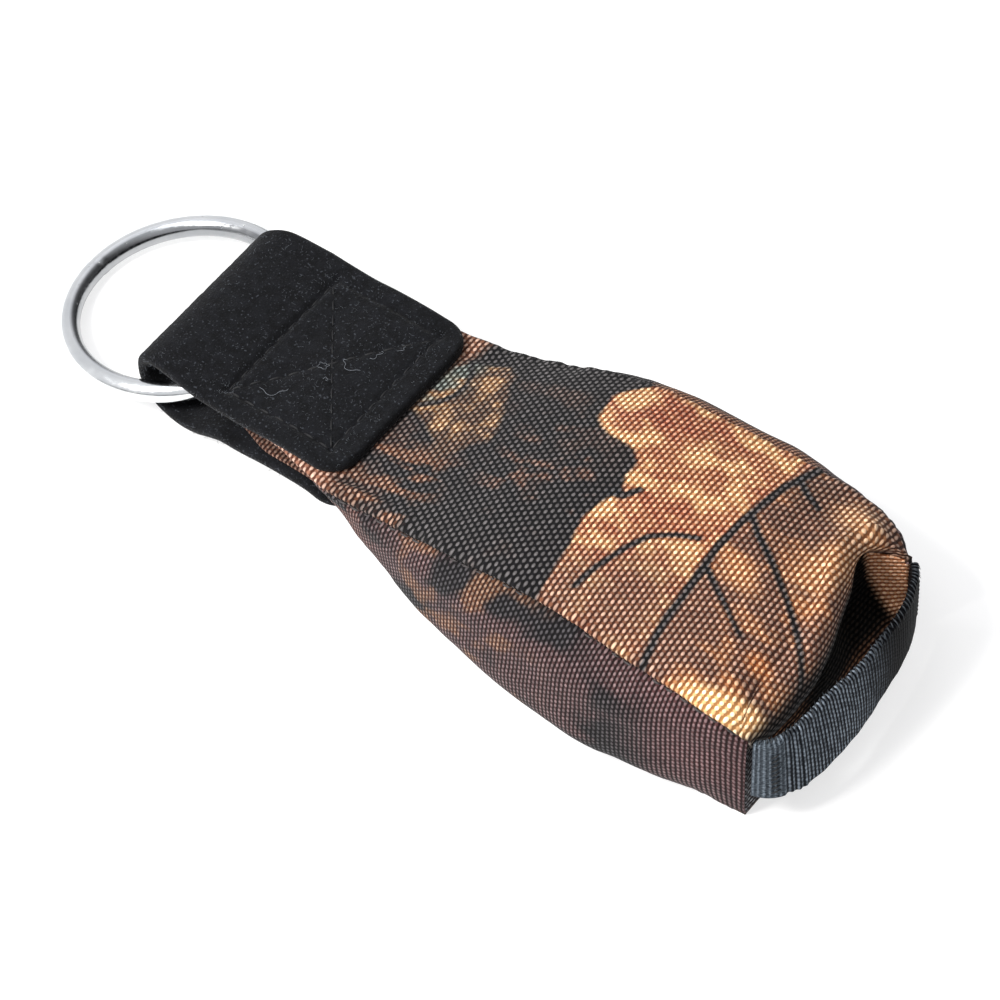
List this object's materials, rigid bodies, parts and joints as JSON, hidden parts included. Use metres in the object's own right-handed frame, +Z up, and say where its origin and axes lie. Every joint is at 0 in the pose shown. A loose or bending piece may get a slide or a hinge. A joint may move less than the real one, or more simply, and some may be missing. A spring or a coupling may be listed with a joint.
{
  "type": "pet training bumper",
  "caption": "Small wedge-shaped filled fabric training bumper with a folded strap holding a steel ring at its neck and a webbing handle across its base.",
  "frame": {"origin": "middle of the bounding box, on the table that the bumper lies on", "axes": "+X from the steel ring towards the base handle, +Y across the bag, +Z up out of the front panel"},
  "size_m": [0.1754, 0.065, 0.0322],
  "materials": {
    "camo_cloth": "600D camouflage Oxford polyester, coated",
    "camo_cloth_back": "600D camouflage Oxford polyester, coated",
    "gusset_cloth_left": "600D camouflage Oxford polyester, coated",
    "gusset_cloth_right": "600D camouflage Oxford polyester, coated",
    "base_cloth": "600D camouflage Oxford polyester, coated",
    "pouch_cloth_front": "plain woven cotton",
    "pouch_cloth_back": "plain woven cotton",
    "pellets": "loose plastic granules",
    "pouch_thread_white": "polyester thread",
    "seam_thread_front_left_mat": "bonded polyester thread",
    "seam_thread_front_right_mat": "bonded polyester thread",
    "seam_thread_back_left_mat": "bonded polyester thread",
    "seam_thread_back_right_mat": "bonded polyester thread",
    "base_thread_front_mat": "bonded polyester thread",
    "base_thread_back_mat": "bonded polyester thread",
    "strap_black_front": "thick black brushed textile",
    "strap_black_back": "thick black brushed textile",
    "needle_thread": "heavy black polyester thread",
    "bobbin_thread": "heavy black polyester thread",
    "strap_black_loop": "thick black brushed textile",
    "polished_steel": "welded round steel wire, polished",
    "black_webbing": "ribbed black nylon webbing",
    "tack_thread_left": "black polyester thread",
    "tack_thread_right": "black polyester thread"
  },
  "bodies": {
    "bag": {"front_panel": "camo_cloth", "back_panel": "camo_cloth_back", "left_gusset": "gusset_cloth_left", "right_gusset": "gusset_cloth_right", "base_panel": "base_cloth", "pouch_front": "pouch_cloth_front", "pouch_back": "pouch_cloth_back", "pellet_fill": "pellets", "pouch_thread": "pouch_thread_white", "seam_thread_front_left": "seam_thread_front_left_mat", "seam_thread_front_right": "seam_thread_front_right_mat", "seam_thread_back_left": "seam_thread_back_left_mat", "seam_thread_back_right": "seam_thread_back_right_mat", "base_thread_front": "base_thread_front_mat", "base_thread_back": "base_thread_back_mat", "strap_front_leg": "strap_black_front", "strap_back_leg": "strap_black_back", "box_stitch_front": "needle_thread", "box_stitch_back": "bobbin_thread"},
    "loop": {"strap_loop": "strap_black_loop"},
    "ring": {"steel_ring": "polished_steel"},
    "handle": {"base_handle": "black_webbing", "handle_tack_left": "tack_thread_left", "handle_tack_right": "tack_thread_right"}
  },
  "joints": [
    {"name": "loop_swing", "type": "hinge", "parent": "bag", "child": "loop", "pos_m": [-0.04168, 0, 0.011], "axis": [0, 1, 0], "range_deg": [-40, 40], "stiffness_Nm_per_rad": 0.05},
    {"name": "ring_turn", "type": "hinge", "parent": "loop", "child": "ring", "pos_m": [-0.06518, 0, 0.00645], "axis": [-0.2079, 0, 0.9781], "continuous": true},
    {"name": "handle_swing", "type": "hinge", "parent": "bag", "child": "handle", "pos_m": [0.07892, 0, 0.0148], "axis": [0, 1, 0], "range_deg": [-14, 14], "stiffness_Nm_per_rad": 0.02}
  ]
}
